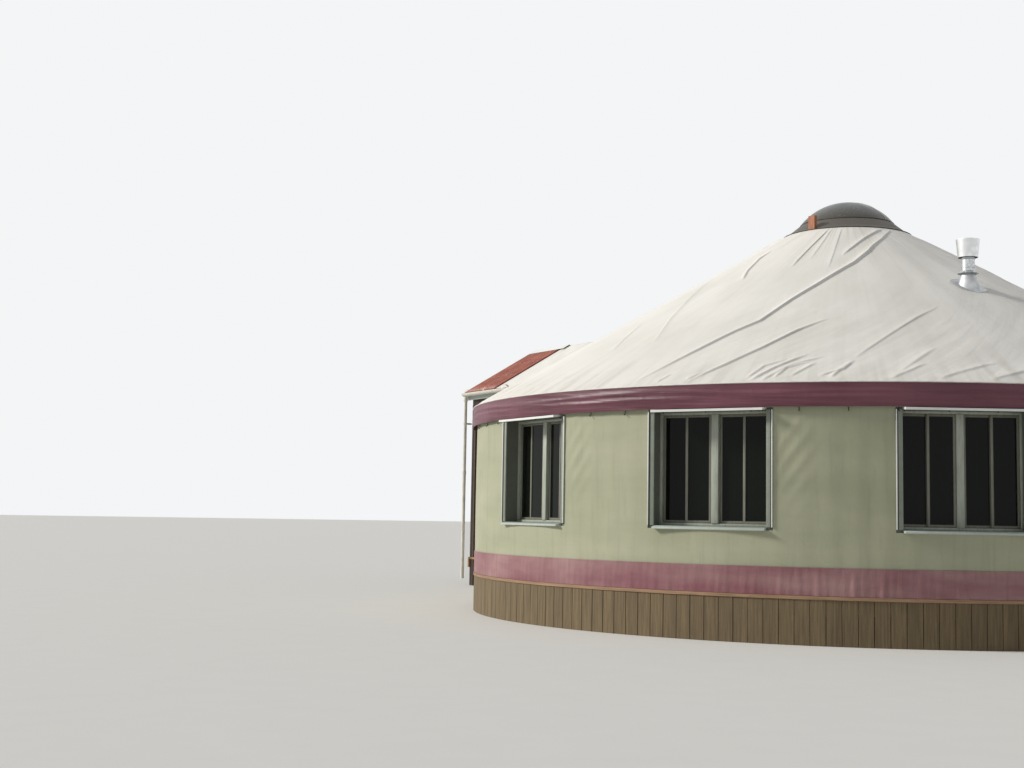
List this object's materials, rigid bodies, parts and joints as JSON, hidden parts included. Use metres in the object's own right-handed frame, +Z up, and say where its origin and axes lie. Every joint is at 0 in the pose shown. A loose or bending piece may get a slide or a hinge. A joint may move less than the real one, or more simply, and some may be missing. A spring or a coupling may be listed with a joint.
{
  "type": "fabric yurt",
  "caption": "Round fabric yurt on a timber platform, with a lattice wall, cone roof, skylight dome, recessed sliding windows, stove pipe and gabled porch.",
  "frame": {"origin": "on the house's axis, at ground level, at the foot of the centre pier", "axes": "+Z up; the door and the porch face -Y; +X is at the middle window of the east side"},
  "size_m": [10.1922, 13.3773, 5.6222],
  "materials": {
    "frame_timber": "planed softwood, oiled",
    "deck_timber": "tongue and groove boards",
    "dark_timber": "dark stained posts and beams",
    "pier_concrete": "rough concrete",
    "skirting_boards": "weathered tan boards",
    "strip_wood": "reddish stained strip",
    "steel": "galvanised",
    "stove_steel": "galvanised, satin",
    "flashing_metal": "dull sheet",
    "trim_paint": "pale grey-green paint",
    "cap_metal": "white paint",
    "unit_plastic": "satin, pale grey",
    "window_glass": "clear double glazing",
    "door_glass": "clear",
    "door_wood": "painted burgundy",
    "wall_fabric": "coated fabric, sage green",
    "burgundy_fabric": "coated fabric, satin",
    "roof_fabric": "coated fabric, off-white, satin",
    "curb_metal": "dark bronze",
    "clamp_metal": "dark anodised",
    "dome_plastic": "bronze tinted bubble",
    "block_wood": "red-brown stain",
    "tie_fabric": "pale cord",
    "porch_boards_wood": "sheathing boards",
    "porch_metal": "red corrugated sheet, weathered",
    "gutter_plastic": "off-white",
    "panel_wood": "pale painted boards"
  },
  "bodies": {
    "root": {"platform_deck": "deck_timber", "platform_frame": "frame_timber", "platform_piers": "pier_concrete", "skirting": "skirting_boards", "skirting_strip": "strip_wood", "lattice_east": "frame_timber", "lattice_north": "frame_timber", "lattice_west": "frame_timber", "lattice_southwest": "frame_timber", "lattice_southeast": "frame_timber", "tension_cable": "steel", "rafters_east": "frame_timber", "rafters_west": "frame_timber", "centre_ring": "frame_timber", "window_bucks": "trim_paint", "window_trim": "trim_paint", "window_caps": "cap_metal", "window_sashes": "unit_plastic", "window_glass": "window_glass", "door_frame": "frame_timber", "door_leaf": "door_wood", "door_glass": "door_glass", "door_handle": "steel", "wall_cover_east": "wall_fabric", "wall_cover_west": "wall_fabric", "wall_cover_southwest": "wall_fabric", "wall_cover_southeast": "wall_fabric", "lower_band": "burgundy_fabric", "valance": "burgundy_fabric", "roof_cover": "roof_fabric", "dome_curb": "curb_metal", "dome": "dome_plastic", "dome_clamp": "clamp_metal", "dome_block": "block_wood", "dome_tie": "tie_fabric", "stove_pipe": "stove_steel", "pipe_flashing": "flashing_metal", "pipe_cap": "stove_steel", "porch_deck": "frame_timber", "porch_joists": "frame_timber", "porch_posts": "dark_timber", "porch_beams": "dark_timber", "porch_trusses": "dark_timber", "porch_rafters": "frame_timber", "porch_boards": "porch_boards_wood", "porch_membrane": "roof_fabric", "porch_roofing": "porch_metal", "porch_ridge_cap": "cap_metal", "porch_trim": "trim_paint", "porch_gutters": "gutter_plastic", "porch_downspouts": "gutter_plastic", "porch_side_panels": "panel_wood"}
  },
  "joints": []
}
